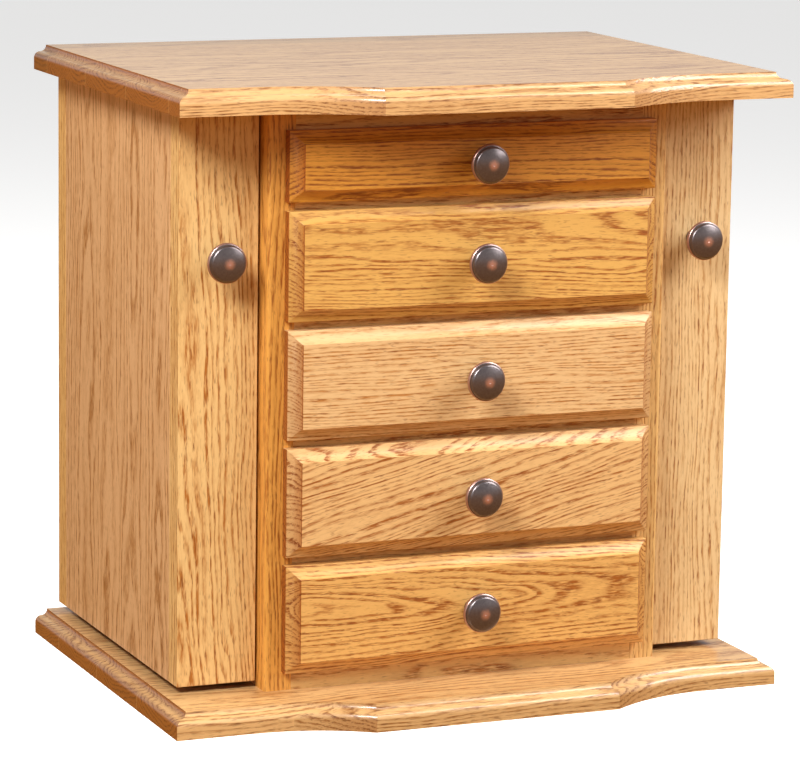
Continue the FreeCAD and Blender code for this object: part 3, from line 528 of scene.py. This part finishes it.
FELT = bpy.data.materials.new("pressed wool felt")
FELT.use_nodes = True
felt_tree = FELT.node_tree
felt_shader = felt_tree.nodes["Principled BSDF"]
felt_where = node(felt_tree, "ShaderNodeTexCoord", out="Object")
nap = node(felt_tree, NOISE, {"Vector": felt_where, "Scale": 1 / TUFT, "Detail": 4.0, "Roughness": 0.7})
wool = node(felt_tree, MIX, {"Factor": nap, "A": linear("#2A0F14"), "B": linear("#5A2630")}, out="Result",
            data_type="RGBA")
tangle = node(felt_tree, "ShaderNodeBump", {"Height": nap, "Strength": 0.6, "Distance": NAP_DEPTH})
felt_tree.links.new(wool, felt_shader.inputs["Base Color"])
felt_tree.links.new(tangle, felt_shader.inputs["Normal"])
felt_shader.inputs["Roughness"].default_value = 0.95
felt_shader.inputs["Sheen Weight"].default_value = 0.12
liners = [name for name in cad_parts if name.endswith("_liner")]
for name in liners:
    paint(name, FELT)
print("felt on", len(liners), "liners")

# %% [markdown]
# ## Studio
# The chest stands on pale paper between two soft boxes.  The one on the right is the stronger, and both
# are high, so that the overhang of the top board throws its shade over the top drawer.  A weak one, high
# behind, fills the back.  The paper glows a little by itself, so that it stays pale far from the lamps.
# It is hidden from the light that bounces, so it throws none up.  The sky does that instead: towards and
# below the horizon it turns orange, which stands for the light that wood throws into its own shade.

# %% The floor
FLOOR_REACH = 30    # metres from the chest to the floor's edge

paper = bpy.data.materials.new("pale paper")
paper.use_nodes = True
paper_shader = paper.node_tree.nodes["Principled BSDF"]
paper_shader.inputs["Base Color"].default_value = linear("#F2F1EF")
paper_shader.inputs["Roughness"].default_value = 0.9
paper_shader.inputs["Emission Color"].default_value = linear("#FFFFFF")
paper_shader.inputs["Emission Strength"].default_value = 0.55

sweep = bmesh.new()
bmesh.ops.create_grid(sweep, x_segments=1, y_segments=1, size=FLOOR_REACH)
floor_mesh = bpy.data.meshes.new("floor")
sweep.to_mesh(floor_mesh)
sweep.free()
floor_mesh.materials.append(paper)
floor = bpy.data.objects.new("floor", floor_mesh)
floor.visible_diffuse = floor.visible_glossy = False
bpy.context.scene.collection.objects.link(floor)
print("floor:", [round(side) for side in floor.dimensions], "m")


# %% Lamps and sky
def soft_box(name, place, size, power, target=(0, 0, 0.22)):
    """A square lamp that faces a point."""
    lamp = bpy.data.objects.new(name, bpy.data.lights.new(name, "AREA"))
    lamp.data.size = size
    lamp.data.energy = power
    lamp.location = place
    lamp.rotation_euler = (Vector(target) - Vector(place)).to_track_quat("-Z", "Y").to_euler()
    bpy.context.scene.collection.objects.link(lamp)


soft_box("right box", (1.28, -0.85, 1.42), 1.2, 42.5)
soft_box("left box", (-1.15, -0.95, 1.42), 0.6, 35)
soft_box("back box", (0, 1.5, 2.4), 1.2, 12)

LOW_SKY, HIGH_SKY = 0.62, 0.2    # how bright the sky is near the horizon and overhead
world = bpy.data.worlds.new("studio")
world.use_nodes = True
sky = world.node_tree
height = node(sky, SEPARATE, {0: node(sky, "ShaderNodeTexCoord", out="Generated")}, out="Z")
glow = node(sky, "ShaderNodeMapRange", {"Value": height, "From Min": 0.14, "From Max": 0.4,
                                        "To Min": LOW_SKY, "To Max": HIGH_SKY},
            interpolation_type="SMOOTHSTEP")
down = node(sky, "ShaderNodeMapRange", {"Value": height, "From Min": 0.12, "From Max": -0.02})
tint = node(sky, MIX, {"Factor": down, "A": linear("#FFFFFF"), "B": linear("#DE963F")}, out="Result",
            data_type="RGBA")
sky.links.new(glow, sky.nodes["Background"].inputs["Strength"])
sky.links.new(tint, sky.nodes["Background"].inputs["Color"])
bpy.context.scene.world = world
bpy.context.scene.view_settings.view_transform = "Standard"
print("lamps:", len(bpy.data.lights))

# %% [markdown]
# ## Camera
# A long lens, looking a little down on the left front corner.

# %% The camera
YAW, PITCH, ROLL = (math.radians(angle) for angle in (22.69, -10.39, 0.84))
ahead = Vector((math.sin(YAW) * math.cos(PITCH), math.cos(YAW) * math.cos(PITCH), math.sin(PITCH)))
level = Vector((math.cos(YAW), -math.sin(YAW), 0))
above = level.cross(ahead)
right = level * math.cos(ROLL) + above * math.sin(ROLL)
up = above * math.cos(ROLL) - level * math.sin(ROLL)
camera = bpy.data.objects.new("camera", bpy.data.cameras.new("camera"))
camera.matrix_world = Matrix((right, up, -ahead)).transposed().to_4x4()
camera.location = (-1.16688, -2.77663, 0.77767)
camera.data.lens = 176.61
bpy.context.scene.collection.objects.link(camera)
bpy.context.scene.camera = camera
print("camera to chest:", round((camera.location - Vector((0, 0, 0.24))).length, 2), "m")
